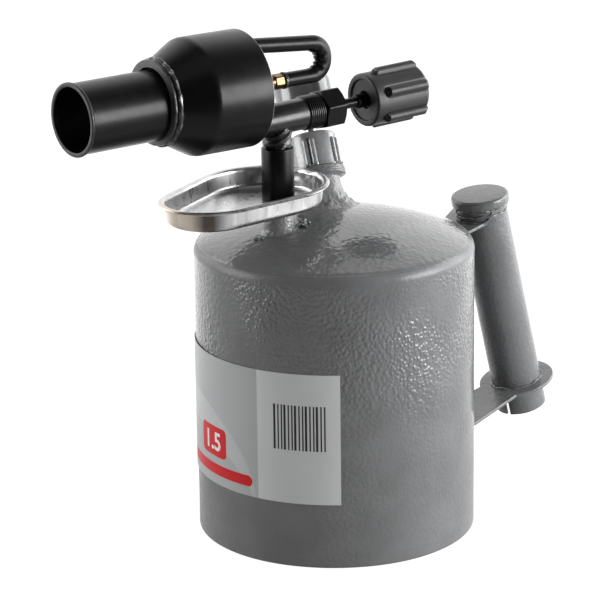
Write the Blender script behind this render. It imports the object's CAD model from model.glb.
import math

import bmesh
import bpy
from mathutils import Euler, Matrix, Vector, noise


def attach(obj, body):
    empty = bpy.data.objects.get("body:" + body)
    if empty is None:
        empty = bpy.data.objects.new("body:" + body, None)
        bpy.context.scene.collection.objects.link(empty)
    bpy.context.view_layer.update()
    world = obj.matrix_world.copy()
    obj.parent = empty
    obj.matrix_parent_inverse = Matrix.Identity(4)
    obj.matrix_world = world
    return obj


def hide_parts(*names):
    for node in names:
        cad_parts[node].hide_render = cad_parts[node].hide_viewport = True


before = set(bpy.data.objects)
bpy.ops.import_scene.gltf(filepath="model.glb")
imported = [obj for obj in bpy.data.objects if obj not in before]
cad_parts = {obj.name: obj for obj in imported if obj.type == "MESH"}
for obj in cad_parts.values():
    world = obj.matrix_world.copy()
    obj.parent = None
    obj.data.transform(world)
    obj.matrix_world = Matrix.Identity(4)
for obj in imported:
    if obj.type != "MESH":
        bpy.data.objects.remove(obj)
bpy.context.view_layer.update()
print("frame loaded:", len(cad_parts), "nodes")


# Working tools

def axisFrame(place, turns=(0.0, 0.0, 0.0)):
    angles = Euler([math.radians(turn) for turn in turns])
    return Matrix.Translation(place) @ angles.to_matrix().to_4x4()


def polar(reach, angle, height=0.0):
    return Vector((reach * math.cos(angle), reach * math.sin(angle), height))


def evenly(start, end, steps):
    # both ends are included
    return [start + (end - start) * index / steps for index in range(steps + 1)]


def wholeTurn(steps):
    return evenly(0.0, math.tau, steps)[:-1]


def arcPoints(centreR, centreZ, radius, start, end, steps):
    angles = [math.radians(turn) for turn in evenly(start, end, steps)]
    return [(centreR + radius * math.cos(angle), centreZ + radius * math.sin(angle)) for angle in angles]


def roundCorners(points, arcSteps=5):
    # each point is (radius, height) or (radius, height, fillet)
    done = []
    for index, point in enumerate(points):
        here = Vector(point[:2])
        if len(point) < 3:
            done.append(tuple(here))
            continue
        before = Vector(points[index - 1][:2]) - here
        after = Vector(points[(index + 1) % len(points)][:2]) - here
        bend = before.angle(after)
        reach = min(point[2] / math.tan(bend / 2), before.length * 0.49, after.length * 0.49)
        radius = reach * math.tan(bend / 2)
        toCentre = (before.normalized() + after.normalized()).normalized() * (radius / math.sin(bend / 2))
        start = before.normalized() * reach - toCentre
        side = 1.0 if before.x * after.y - before.y * after.x < 0 else -1.0
        for angle in evenly(0.0, side * (math.pi - bend), arcSteps):
            turned = Vector((
                start.x * math.cos(angle) - start.y * math.sin(angle),
                start.x * math.sin(angle) + start.y * math.cos(angle),
            ))
            done.append(tuple(here + toCentre + turned))
    return done


def outlineOf(sizes, text):
    # text names each corner's radius, height and perhaps fillet among the sizes of a piece
    corners = [corner.split() for corner in text.split(",")]
    return [tuple(0.0 if word == "axis" else sizes[word] for word in corner) for corner in corners]


def ridges(sizes, kind, start, end, count, marks):
    # a ridged wall from start down to end; marks are (share of the pitch, share of the depth)
    crest, depth = sizes[kind + "Radius"], sizes[kind + "Radius"] - sizes[kind + "Root"]
    pitch = (sizes[start] - sizes[end]) / count
    places = [(index + share, cut) for index in range(count) for share, cut in marks]
    return [(crest - depth * cut, sizes[start] - pitch * place) for place, cut in places]


def unevenReach(depth, around, along, beyond=0.0):
    # lets the walls that lie beyond a given radius wander in and out
    def reachAt(reach, height, angle):
        return reach + depth * noise.noise(polar(around, angle, height * along)) if reach > beyond else reach
    return reachAt


def bridgeRings(bm, rings, closed):
    for upper, lower in zip(rings, rings[1:] + (rings[:1] if closed else [])):
        steps = max(len(upper), len(lower))
        for index in range(steps if steps > 1 else 0):
            following = (index + 1) % steps
            if len(upper) == 1:
                bm.faces.new((upper[0], lower[index], lower[following]))
            elif len(lower) == 1:
                bm.faces.new((upper[index], lower[0], upper[following]))
            else:
                bm.faces.new((upper[index], lower[index], lower[following], upper[following]))


def turnOnLathe(bm, profile, axis, steps=96, reachAt=None):
    # a profile that starts on the axis also ends there, and any other one is a closed loop
    rings = []
    for radius, height in profile:
        if radius < 1e-6:
            rings.append([bm.verts.new(axis @ Vector((0.0, 0.0, height)))])
            continue
        ring = []
        for angle in wholeTurn(steps):
            reach = reachAt(radius, height, angle) if reachAt else radius
            ring.append(bm.verts.new(axis @ polar(reach, angle, height)))
        rings.append(ring)
    bridgeRings(bm, rings, profile[0][0] > 1e-6)
    return rings


def sweepRings(bm, route, reachAt, sides, looped=False):
    # reachAt(index, outward) gives the reach of the section, whose frame is carried along the route
    side = (route[1] - route[0]).normalized().orthogonal().normalized()
    rings = []
    for index, place in enumerate(route):
        following = route[(index + 1) % len(route)] if looped or index < len(route) - 1 else place
        previous = route[index - 1] if looped or index else place
        heading = (following - previous).normalized()
        side = (side - heading * side.dot(heading)).normalized()
        other = heading.cross(side)
        ring = []
        for angle in wholeTurn(sides):
            outward = side * math.cos(angle) + other * math.sin(angle)
            ring.append(bm.verts.new(place + outward * reachAt(index, outward)))
        rings.append(ring)
    if not looped:
        rings = [[bm.verts.new(route[0])], *rings, [bm.verts.new(route[-1])]]
    bridgeRings(bm, rings, looped)


def linkNew(name, data):
    made = bpy.data.objects.new(name, data)
    bpy.context.scene.collection.objects.link(made)
    return made


def meshFrom(name, bm):
    mesh = bpy.data.meshes.new(name)
    bm.to_mesh(mesh)
    bm.free()
    return mesh


def evaluatedMesh(thing):
    bpy.context.view_layer.update()
    return bpy.data.meshes.new_from_object(thing.evaluated_get(bpy.context.evaluated_depsgraph_get()))


def meshOfCurve(curve, mergeWithin):
    guide = linkNew("guide", curve)
    bm = bmesh.new()
    bm.from_mesh(evaluatedMesh(guide))
    bpy.data.objects.remove(guide, do_unlink=True)
    bmesh.ops.remove_doubles(bm, verts=bm.verts, dist=mergeWithin)
    return bm


def finishPiece(name, bm, slot, finish, body="lamp", sharpAngle=38.0):
    bmesh.ops.recalc_face_normals(bm, faces=bm.faces)
    mesh = meshFrom(name, bm)
    mesh.shade_smooth()
    mesh.set_sharp_from_angle(angle=math.radians(sharpAngle))
    mesh.materials.append(finishes[finish])
    piece = linkNew(name, mesh)
    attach(piece, body)
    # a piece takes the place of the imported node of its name, such as tankShell that of tank_shell
    node = "".join("_" + letter.lower() if letter.isupper() else letter for letter in name)
    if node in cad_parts:
        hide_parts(node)
    return piece


def turnPiece(name, slot, finish, axis, profile, steps=96, arcSteps=5, reachAt=None, **options):
    bm = bmesh.new()
    turnOnLathe(bm, roundCorners(profile, arcSteps), axis, steps, reachAt)
    return finishPiece(name, bm, slot, finish, **options)


def wearFaces(piece, finish, axis, low, high=1.0):
    # gives a second finish to the faces whose middle lies between two heights on the axis
    piece.data.materials.append(finishes[finish])
    toAxis = axis.inverted()
    for polygon in piece.data.polygons:
        if low < (toAxis @ polygon.center).z < high:
            polygon.material_index = 1


# Finishes

finishes = {}


def plug(tree, socket, value):
    if hasattr(value, "is_linked"):
        tree.links.new(value, socket)
    else:
        socket.default_value = value


def addNode(tree, kind, values=None, **settings):
    made = tree.nodes.new(kind)
    for key, value in settings.items():
        setattr(made, key, value)
    for key, value in (values or {}).items():
        plug(tree, made.inputs[key], value)
    return made


def objectPlace(tree, scale=(1.0, 1.0, 1.0)):
    place = addNode(tree, "ShaderNodeTexCoord").outputs["Object"]
    return addNode(tree, "ShaderNodeMapping", {"Vector": place, "Scale": scale}).outputs["Vector"]


def grain(tree, scale, detail=2.0, stretch=(1.0, 1.0, 1.0), roughness=0.5):
    return addNode(tree, "ShaderNodeTexNoise", {
        "Vector": objectPlace(tree, stretch), "Scale": scale, "Detail": detail, "Roughness": roughness
    }).outputs["Fac"]


def ramp(tree, fac, low, high, lowValue, highValue):
    return addNode(tree, "ShaderNodeMapRange", {
        "Value": fac, "From Min": low, "From Max": high, "To Min": lowValue, "To Max": highValue
    }).outputs["Result"]


def blendColour(tree, fac, first, second):
    return addNode(tree, "ShaderNodeMix", {0: fac, 6: first, 7: second}, data_type="RGBA").outputs[2]


def maths(tree, operation, first, second=0.0):
    return addNode(tree, "ShaderNodeMath", {0: first, 1: second}, operation=operation).outputs[0]


def measure(tree, operation, first, second):
    return addNode(tree, "ShaderNodeVectorMath", {0: first, 1: second}, operation=operation).outputs["Value"]


def shade(colour, factor=1.0):
    return (colour[0] * factor, colour[1] * factor, colour[2] * factor, 1.0)


def mottled(tree, colour, scale, detail, dark, light, low=0.3, high=0.7):
    tint = ramp(tree, grain(tree, scale, detail), low, high, 0.0, 1.0)
    return blendColour(tree, tint, shade(colour, dark), shade(colour, light))


def makeFinish(name, surfaceOf, look):
    # surfaceOf gives what goes into the shader, and the height of the relief in metres
    material = bpy.data.materials.new(name)
    material.use_nodes = True
    tree = material.node_tree
    surface, relief = surfaceOf(tree, look)
    bump = addNode(tree, "ShaderNodeBump", {"Height": relief, "Distance": 1.0, "Strength": 1.0})
    surface["Normal"] = bump.outputs["Normal"]
    for key, value in surface.items():
        plug(tree, tree.nodes["Principled BSDF"].inputs[key], value)
    finishes[name] = material


def paintSurface(tree, look):
    # gloss paint over steel: fine orange peel, and dimples where the paint is a hammered one
    colour = mottled(tree, look["colour"], look["mottle"], 3.0, 0.92, 1.08, 0.35, 0.65)
    gloss = ramp(tree, grain(tree, look["mottle"] * 2.3), 0.3, 0.7, *look["gloss"])
    peelScale, peelDepth = look["peel"]
    relief = maths(tree, "MULTIPLY", grain(tree, peelScale, roughness=0.45), peelDepth)
    if "dimples" in look:
        dimpleScale, dimpleDepth = look["dimples"]
        cells = addNode(tree, "ShaderNodeTexVoronoi", {
            "Vector": objectPlace(tree), "Scale": dimpleScale, "Smoothness": 0.6, "Randomness": 0.9
        }, feature="SMOOTH_F1").outputs["Distance"]
        dimples = maths(tree, "MULTIPLY", ramp(tree, cells, 0.15, 0.75, 1.0, 0.0), dimpleDepth)
        if "evenOut" in look:
            thick = ramp(tree, grain(tree, look["patchScale"], 1.0), 0.36, 0.55, 0.22, 1.0)
            dimples = maths(tree, "MULTIPLY", dimples, thick)
            # the paint flows out smoother low on the wall and over the shoulder
            level = addNode(tree, "ShaderNodeSeparateXYZ", {"Vector": objectPlace(tree)}).outputs["Z"]
            for low, high, lowShare, highShare in look["evenOut"]:
                dimples = maths(tree, "MULTIPLY", dimples, ramp(tree, level, low, high, lowShare, highShare))
        relief = maths(tree, "ADD", relief, dimples)
    return {
        "Base Color": colour, "Roughness": gloss, "Metallic": look.get("metallic", 0.0),
        "Specular IOR Level": look.get("sheen", 0.5),
    }, relief


# peel and dimples are (scale, depth)
paintLooks = {
    "hammeredGrey": {
        "colour": (0.150, 0.152, 0.155), "gloss": (0.165, 0.23), "mottle": 60.0, "peel": (420.0, 0.00006),
        "dimples": (600.0, 0.00025), "patchScale": 22.0,
        "evenOut": ((0.060, 0.088, 0.48, 1.0), (0.1245, 0.1285, 1.0, 0.12)),
    },
    "shoulderGrey": {
        "colour": (0.150, 0.152, 0.155), "gloss": (0.30, 0.38), "mottle": 60.0, "peel": (420.0, 0.00005),
        "dimples": (600.0, 0.00003), "sheen": 0.3,
    },
    "domeGrey": {
        "colour": (0.150, 0.152, 0.155), "gloss": (0.08, 0.12), "mottle": 60.0, "peel": (620.0, 0.00012),
        "dimples": (360.0, 0.00009),
    },
    "handleGrey": {
        "colour": (0.135, 0.137, 0.140), "gloss": (0.22, 0.30), "mottle": 60.0, "peel": (420.0, 0.00006),
        "dimples": (620.0, 0.00006),
    },
    "bracketGrey": {
        "colour": (0.165, 0.167, 0.170), "gloss": (0.20, 0.30), "mottle": 90.0, "peel": (520.0, 0.00012),
        "dimples": (400.0, 0.00005),
    },
    "weldGrey": {
        "colour": (0.170, 0.172, 0.175), "gloss": (0.14, 0.26), "mottle": 150.0, "peel": (900.0, 0.00022),
        "dimples": (700.0, 0.00010),
    },
    "silverGrey": {
        "colour": (0.28, 0.283, 0.287), "gloss": (0.20, 0.30), "mottle": 120.0, "peel": (700.0, 0.00005),
        "metallic": 0.30,
    },
    "knobGrey": {
        "colour": (0.20, 0.202, 0.205), "gloss": (0.14, 0.22), "mottle": 120.0, "peel": (700.0, 0.00004),
        "metallic": 0.35,
    },
    "valveBlack": {
        "colour": (0.005, 0.005, 0.0055), "gloss": (0.28, 0.35), "mottle": 110.0, "peel": (900.0, 0.00001),
        "sheen": 0.36,
    },
    "burnerBlack": {
        "colour": (0.003, 0.003, 0.0034), "gloss": (0.28, 0.34), "mottle": 110.0, "peel": (900.0, 0.000007),
        "sheen": 0.17,
    },
    "scaledBlack": {
        "colour": (0.060, 0.059, 0.058), "gloss": (0.45, 0.60), "mottle": 500.0, "peel": (1300.0, 0.00012),
    },
    "brazedBlack": {
        "colour": (0.012, 0.012, 0.013), "gloss": (0.26, 0.42), "mottle": 240.0, "peel": (1300.0, 0.00020),
    },
}


def metalSurface(tree, look):
    colour = mottled(tree, look["colour"], look["mottle"], 3.0, 0.86, 1.06)
    for centre, near, far, tint in look.get("heatTints", ()):
        distance = measure(tree, "DISTANCE", objectPlace(tree, (1.0, 1.0, 0.0)), centre)
        colour = blendColour(tree, ramp(tree, distance, near, far, 1.0, 0.0), colour, shade(tint))
    lines = grain(tree, 1.0, 3.0, look["drawLines"], 0.6)
    gloss = ramp(tree, lines, 0.3, 0.7, *look["gloss"])
    relief = maths(tree, "MULTIPLY", lines, look["lineDepth"])
    return {"Base Color": colour, "Roughness": gloss, "Metallic": 1.0}, relief


metalLooks = {
    "tinplate": {
        "colour": (0.50, 0.50, 0.505), "gloss": (0.24, 0.38), "mottle": 70.0,
        "drawLines": (480.0, 480.0, 9.0), "lineDepth": 0.000004,
        "heatTints": (
            ((-0.0890, -0.0090, 0.0), 0.009, 0.014, (0.50, 0.44, 0.38)),
            ((-0.0802, -0.0212, 0.0), 0.0020, 0.0075, (0.095, 0.078, 0.068)),
        ),
    },
    "brightSteel": {
        "colour": (0.50, 0.50, 0.51), "gloss": (0.18, 0.30), "mottle": 150.0,
        "drawLines": (700.0, 700.0, 700.0), "lineDepth": 0.00001,
    },
    "brass": {
        "colour": (0.20, 0.120, 0.066), "gloss": (0.28, 0.42), "mottle": 420.0,
        "drawLines": (900.0, 900.0, 900.0), "lineDepth": 0.00002,
    },
}


def softSurface(tree, look):
    # plastic, fibre, leather and ink
    skinScale, skinDepth = look["skin"]
    skin = grain(tree, skinScale, 3.0, roughness=0.6)
    return {
        "Base Color": mottled(tree, look["colour"], look["mottle"], 4.0, 0.8, 1.15),
        "Roughness": ramp(tree, skin, 0.3, 0.7, *look["gloss"]),
    }, maths(tree, "MULTIPLY", skin, skinDepth)


softLooks = {
    "knobPlastic": {
        "colour": (0.010, 0.010, 0.011), "gloss": (0.42, 0.56), "mottle": 120.0, "skin": (2200.0, 0.00007),
    },
    "fibre": {"colour": (0.30, 0.06, 0.03), "gloss": (0.7, 0.9), "mottle": 300.0, "skin": (1500.0, 0.00006)},
    "leather": {
        "colour": (0.12, 0.06, 0.025), "gloss": (0.5, 0.75), "mottle": 200.0, "skin": (1200.0, 0.00010),
    },
    "numberInk": {
        "colour": (0.74, 0.74, 0.74), "gloss": (0.34, 0.42), "mottle": 60.0, "skin": (900.0, 0.000004),
    },
}


def wornSurface(tree, look):
    # black steel whose high spots are rubbed bright
    patches = grain(tree, look["patchScale"], 4.0, roughness=0.65)
    patches = ramp(tree, patches, look["wearFrom"], look["wearTo"], 0.0, 1.0)
    lumpScale, lumpDepth = look["lumps"]
    return {
        "Base Color": blendColour(tree, patches, shade(look["black"]), shade(look["bright"])),
        "Roughness": ramp(tree, grain(tree, look["patchScale"] * 3), 0.3, 0.7, 0.28, 0.5),
        "Metallic": patches,
    }, maths(tree, "MULTIPLY", grain(tree, lumpScale, 3.0), lumpDepth)


wornLooks = {
    "wornWeld": {
        "black": (0.014, 0.014, 0.015), "bright": (0.34, 0.34, 0.34), "patchScale": 260.0,
        "wearFrom": 0.52, "wearTo": 0.62, "lumps": (1200.0, 0.00035),
    },
    "wornEdge": {
        "black": (0.03, 0.03, 0.03), "bright": (0.34, 0.34, 0.34), "patchScale": 340.0,
        "wearFrom": 0.30, "wearTo": 0.50, "lumps": (2400.0, 0.00002),
    },
    "wornRim": {
        "black": (0.010, 0.010, 0.011), "bright": (0.040, 0.040, 0.040), "patchScale": 300.0,
        "wearFrom": 0.35, "wearTo": 0.60, "lumps": (1600.0, 0.00004),
    },
}

# in millimetres: right, left, low, high and corner of a block; centre, reach and brightness of a swoosh
labelArt = {
    "paper": (0.66, 0.665, 0.67), "silver": (0.44, 0.445, 0.45), "red": (0.60, 0.010, 0.014),
    "ink": (0.03, 0.03, 0.032), "boundary": 37.9, "block": (56.8, 77.8, 12.7, 26.5, 2.4),
    "band": (41.0, 130.0, 4.3, 9.3, 2.5), "bars": (6.4, 30.4, 24.3, 44.7), "barPitch": 1.6,
    "swooshes": ((95.0, -4.0, 56.0, 44.0, 1.16), (95.0, -14.0, 58.0, 40.0, 0.98)),
}


def labelSurface(tree, art):
    # u runs left from the label's right edge and v up from its foot, both in millimetres
    where = addNode(tree, "ShaderNodeSeparateXYZ", {"Vector": addNode(tree, "ShaderNodeUVMap").outputs["UV"]})
    along, up = where.outputs["X"], where.outputs["Y"]

    def calc(operation, first, second=0.0):
        return maths(tree, operation, first, second)

    def squares(first, second):
        return calc("ADD", calc("MULTIPLY", first, first), calc("MULTIPLY", second, second))

    def beyond(value, low, high, corner):
        off = calc("ABSOLUTE", calc("SUBTRACT", value, (low + high) / 2))
        return calc("MAXIMUM", calc("SUBTRACT", off, (high - low) / 2 - corner), 0.0)

    def inside(value, low, high):
        return calc("MULTIPLY", calc("GREATER_THAN", value, low), calc("LESS_THAN", value, high))

    silver = mottled(tree, art["silver"], 40.0, 2.0, 0.97, 1.02)
    for centreU, centreV, reachU, reachV, brightness in art["swooshes"]:
        shareU = calc("DIVIDE", calc("SUBTRACT", along, centreU), reachU)
        shareV = calc("DIVIDE", calc("SUBTRACT", up, centreV), reachV)
        swoosh = calc("LESS_THAN", squares(shareU, shareV), 1.0)
        silver = blendColour(tree, swoosh, silver, shade(art["silver"], brightness))
    paper = mottled(tree, art["paper"], 40.0, 2.0, 0.97, 1.02)
    colour = blendColour(tree, calc("GREATER_THAN", along, art["boundary"]), paper, silver)
    for right, left, low, high, corner in (art["block"], art["band"]):
        outside = squares(beyond(along, right, left, corner), beyond(up, low, high, corner))
        colour = blendColour(tree, calc("LESS_THAN", outside, corner * corner), colour, shade(art["red"]))
    # every third bar is a wide one
    phase = calc("FRACT", calc("DIVIDE", along, art["barPitch"]))
    wide = calc("LESS_THAN", calc("FRACT", calc("DIVIDE", along, art["barPitch"] * 3)), 0.333)
    bars = calc("LESS_THAN", phase, calc("ADD", calc("MULTIPLY", wide, 0.22), 0.42))
    right, left, low, high = art["bars"]
    bars = calc("MULTIPLY", calc("MULTIPLY", bars, inside(along, right, left)), inside(up, low, high))
    return {
        "Base Color": blendColour(tree, bars, colour, shade(art["ink"])), "Specular IOR Level": 0.22,
        "Roughness": ramp(tree, grain(tree, 160.0), 0.3, 0.7, 0.30, 0.38),
    }, maths(tree, "MULTIPLY", grain(tree, 260.0), 0.00002)


for surfaceOf, looks in (
    (paintSurface, paintLooks), (metalSurface, metalLooks), (softSurface, softLooks),
    (wornSurface, wornLooks), (labelSurface, {"labelPrint": labelArt}),
):
    for finishName, look in looks.items():
        makeFinish(finishName, surfaceOf, look)
print("finishes made")

# Where the pieces stand

bossX = -0.0296
bossFrame = axisFrame((bossX, 0.0, 0.0))
pumpFrame = axisFrame((0.008, 0.018, 0.142967), (0.0, 29.5, 75.0))
valveFrame = axisFrame((bossX, 0.0, 0.1904), (0.0, 88.2, 0.0))
burnerFrame = axisFrame((-0.0482, 0.0, 0.2068), (0.0, -90.0, 0.0))
flameFrame = axisFrame((-0.0920, 0.0, 0.2058), (0.0, -90.2, 1.7))
trayFrame = axisFrame((bossX, 0.0, 0.1539), (0.0, -1.1, 0.0))
handleFrame = axisFrame((0.10775, 0.0, 0.03302), (0.0, -13.8, 0.0))
handleCapFrame = handleFrame @ axisFrame((0.0, 0.0, 0.1046), (0.0, 6.0, 0.0))


# Tank

tank = {
    "radius": 0.062, "wall": 0.0008, "shoulderStart": 0.1275, "shoulderRadius": 0.006, "top": 0.1442,
    "seamRise": 0.0038, "seamStep": 0.0003, "seamWidth": 0.00006, "seamBead": 0.00012, "seamRoll": 0.0010,
    "skirt": 0.0055, "lap": 0.0003, "bottomCorner": 0.0014, "joint": 0.005, "jointGap": 0.00004,
    "bottomSkirt": 0.012, "wobble": 0.00012, "steps": 180,
}
shoulderCentre = tank["radius"] - tank["shoulderRadius"]
domeFall = tank["shoulderStart"] - tank["top"]
domeSphere = tank["shoulderRadius"] ** 2 - shoulderCentre ** 2 - domeFall ** 2
domeSphere /= 2 * (domeFall + tank["shoulderRadius"])
domeCentre = tank["top"] - domeSphere
shoulderEnd = math.degrees(math.atan2(tank["shoulderStart"] - domeCentre, shoulderCentre))
seamAngle = math.degrees(math.asin(tank["seamRise"] / tank["shoulderRadius"]))


def domeHeight(x, y):
    return domeCentre + math.sqrt(domeSphere ** 2 - x * x - y * y)


def shoulderArc(offset, start, end, steps):
    reach = tank["shoulderRadius"] + offset
    return arcPoints(shoulderCentre, tank["shoulderStart"], reach, start, end, steps)


def makeTank():
    radius, wall, start, joint = tank["radius"], tank["wall"], tank["shoulderStart"], tank["joint"]
    wobble = unevenReach(tank["wobble"], 2.4, 2.4 / radius)
    shell = turnPiece("tankShell", "hammered_grey", "hammeredGrey", Matrix(), [
        *shoulderArc(0.0, seamAngle, 0, 10), *[(radius, level) for level in evenly(start, joint, 24)[1:]],
        (radius - wall, joint), *shoulderArc(-wall, 0, seamAngle, 8),
    ], tank["steps"], reachAt=wobble)
    wearFaces(shell, "shoulderGrey", Matrix(), start)

    outer, under = -tank["seamStep"], -wall - tank["lap"]
    roll = math.degrees(tank["seamRoll"] / tank["shoulderRadius"])
    gap = math.degrees(tank["seamWidth"] / tank["shoulderRadius"])
    edge = shoulderArc(outer, shoulderEnd, seamAngle + roll, 6)[1:]
    for share in evenly(0.0, 1.0, 10)[1:]:
        # a low bead along the seam
        lift = tank["seamBead"] * math.sin(math.pi * share ** 0.7) ** 0.8 + outer * (1.0 - share)
        turn = seamAngle + gap + (roll - gap) * (1.0 - share)
        edge += shoulderArc(lift, turn, turn, 1)[:1]
    turnPiece("tankDome", "hammered_grey", "domeGrey", Matrix(), [
        *arcPoints(0.0, domeCentre, domeSphere + outer, 90, shoulderEnd, 22), *edge,
        *shoulderArc(under, seamAngle + gap, 0, 5), (radius + under, start - tank["skirt"]),
        (radius + under - wall, start - tank["skirt"]), *shoulderArc(under - wall, 0, shoulderEnd, 8),
        *arcPoints(0.0, domeCentre, domeSphere + under - wall, shoulderEnd, 90, 12)[1:],
    ], tank["steps"], reachAt=wobble)

    corner, skirtRadius, jointTop = tank["bottomCorner"], radius + under, joint - tank["jointGap"]
    turnPiece("tankBottom", "hammered_grey", "hammeredGrey", Matrix(), [
        (0.0, wall), *arcPoints(radius - corner, corner, corner - wall, -90, -45, 5),
        (skirtRadius - wall, corner + wall), (skirtRadius - wall, tank["bottomSkirt"]),
        (skirtRadius, tank["bottomSkirt"]), (skirtRadius, jointTop), (radius, jointTop),
        *arcPoints(radius - corner, corner, corner, 0, -90, 10), (0.0, 0.0),
    ], tank["steps"], reachAt=wobble)
    print("tank turned")


label = {
    "rightAngle": -124.2, "span": 96.0, "foot": 0.0297, "head": 0.0885, "inner": 0.0623, "outer": 0.0625,
    "facets": 96,
}


def makeLabel():
    bm = bmesh.new()
    uv = bm.loops.layers.uv.new("print")
    inner, outer, foot, head = label["inner"], label["outer"], label["foot"], label["head"]
    columns, printAt = [], {}
    for turn in evenly(0.0, label["span"], label["facets"]):
        column = []
        for radius, height in ((outer, head), (outer, foot), (inner, foot), (inner, head)):
            column.append(bm.verts.new(polar(radius, math.radians(label["rightAngle"] - turn), height)))
            printAt[column[-1]] = (math.radians(turn) * outer * 1000.0, (height - foot) * 1000.0)
        columns.append(column)
    bridgeRings(bm, columns, False)
    bm.faces.new(columns[0])
    bm.faces.new(columns[-1])
    for face in bm.faces:
        for loop in face.loops:
            loop[uv].uv = printAt[loop.vert]
    finishPiece("tankLabel", bm, "label_paper", "labelPrint")


labelNumber = {
    "text": "1.5", "size": 11.6, "middle": (67.6, 19.2), "proud": 0.00005, "thickness": 0.00004, "bold": 0.24,
    "cuts": 24,
}


def makeLabelNumber():
    # plain white figures, bent round the tank just proud of the paper
    curve = bpy.data.curves.new("number", "FONT")
    curve.body = labelNumber["text"]
    curve.size = labelNumber["size"]
    curve.offset = labelNumber["bold"]
    curve.align_x, curve.align_y = "CENTER", "CENTER"
    bm = meshOfCurve(curve, 1e-5)
    width = max(vertex.co.x for vertex in bm.verts) - min(vertex.co.x for vertex in bm.verts)
    for across in evenly(-width / 2, width / 2, labelNumber["cuts"])[1:-1]:
        geometry, place = bm.verts[:] + bm.edges[:] + bm.faces[:], Vector((across, 0, 0))
        bmesh.ops.bisect_plane(bm, geom=geometry, plane_co=place, plane_no=(1, 0, 0))
    for made in bmesh.ops.extrude_face_region(bm, geom=bm.faces[:])["geom"]:
        if isinstance(made, bmesh.types.BMVert):
            made.co.z = 1.0
    thickness = labelNumber["thickness"]
    right, up = labelNumber["middle"]
    for vertex in bm.verts:
        reach = label["outer"] - thickness + (labelNumber["proud"] + thickness) * vertex.co.z
        angle = math.radians(label["rightAngle"]) - (right - vertex.co.x) / 1000.0 / label["outer"]
        vertex.co = polar(reach, angle, label["foot"] + (up + vertex.co.y) / 1000.0)
    finishPiece("labelNumber", bm, "label_paper", "numberInk")


def weldFillet(bm, axis, top, weld, seed):
    # a lumpy concave fillet between a stem that leaves the dome and the dome's skin
    levels, spread, foot = weld["levels"], weld["spread"], weld["foot"]
    side, along, up = axis.col[0].to_3d(), axis.col[1].to_3d(), Vector((0, 0, 1))
    rings = [[] for level in range(levels + 3)]
    for angle in wholeTurn(weld["steps"]):
        outward = polar(1.0, angle)
        lump = 1.0 + spread * noise.noise(outward * 2.2 + Vector((seed, 0, 0)))
        rise = weld["rise"] * (1.0 + spread * noise.noise(outward * 2.9 + Vector((0, seed, 0))))
        upper = axis @ (outward * top + Vector((0, 0, rise)))
        lower = axis @ (outward * (top + (foot - top) * lump))
        lower.z = domeHeight(lower.x, lower.y) - 0.0004
        bend = axis @ (outward * (top + (foot - top) * 0.12))
        bend.z = domeHeight(bend.x, bend.y) + weld["rise"] * 0.06
        for level in range(levels + 1):
            share = level / levels
            place = upper.lerp(bend, share).lerp(bend.lerp(lower, share), share)
            swell = weld["lump"] * math.sin(math.pi * min(1.0, share * 1.05))
            swell *= 0.4 + noise.noise(place / 0.0016 + Vector((seed, seed, 0)))
            place += (outward.x * side + outward.y * along + up) * swell
            rings[level + 1].append(bm.verts.new(place))
        rings[0].append(bm.verts.new(axis @ (outward * (top - 0.0008) + Vector((0, 0, rise)))))
        inner = axis @ (outward * (top - 0.0008))
        inner.z = domeHeight(inner.x, inner.y) - 0.0006
        rings[-1].append(bm.verts.new(inner))
    bridgeRings(bm, rings, True)


def addBlob(bm, place, size, seed):
    made = bmesh.ops.create_icosphere(bm, subdivisions=3, radius=size)
    for vertex in made["verts"]:
        swell = 1.0 + 0.35 * noise.noise(vertex.co / (size * 0.9) + Vector((seed, 0, seed)))
        vertex.co = Vector(place) + vertex.co * Vector((1.0, 1.0, 0.6)) * swell


# spatter beside the weld is (x, y, size)
boss = {
    "radius": 0.0070, "top": 0.1531, "threadRadius": 0.0043, "cavity": 0.1466, "pickupRadius": 0.0033,
    "edge": 0.0004, "sunk": 0.0006,
    "weld": {"steps": 96, "levels": 7, "rise": 0.0008, "spread": 0.45, "lump": 0.00020, "foot": 0.0082},
    "spatter": (
        (-0.0416, 0.0004, 0.0013), (-0.0400, -0.0018, 0.0011), (-0.0215, -0.0060, 0.0013),
        (-0.0198, -0.0046, 0.0017), (-0.0184, -0.0020, 0.0019), (-0.0210, -0.0080, 0.0009),
        (-0.0172, -0.0052, 0.0010),
    ),
}


def makeBoss():
    dome = domeHeight(bossX, 0.0)
    bm = bmesh.new()
    turnOnLathe(bm, roundCorners(outlineOf(
        {**boss, "seat": dome - boss["sunk"]}, "radius top edge, radius seat, pickupRadius seat,"
        "pickupRadius cavity, threadRadius cavity, threadRadius top edge")), bossFrame)
    weldFillet(bm, axisFrame((bossX, 0.0, dome)), boss["radius"], boss["weld"], 3.1)
    for index, (x, y, size) in enumerate(boss["spatter"]):
        addBlob(bm, (x, y, domeHeight(x, y) + size * 0.15), size, index * 2.3)
    finishPiece("riserBoss", bm, "hammered_grey", "weldGrey")


neck = {
    "radius": 0.0092, "bore": 0.0075, "top": 0.0245, "root": -0.0030, "threadRadius": 0.0095,
    "threadRoot": 0.0091, "threads": 7, "collarRadius": 0.0121, "collarRoot": 0.0118, "collarStart": 0.0113,
    "collarFoot": 0.0103, "collarEnd": 0.0147, "grooves": 4,
    "weld": {"steps": 120, "levels": 14, "rise": 0.0064, "spread": 0.22, "lump": 0.00045, "foot": 0.0172},
}


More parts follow.
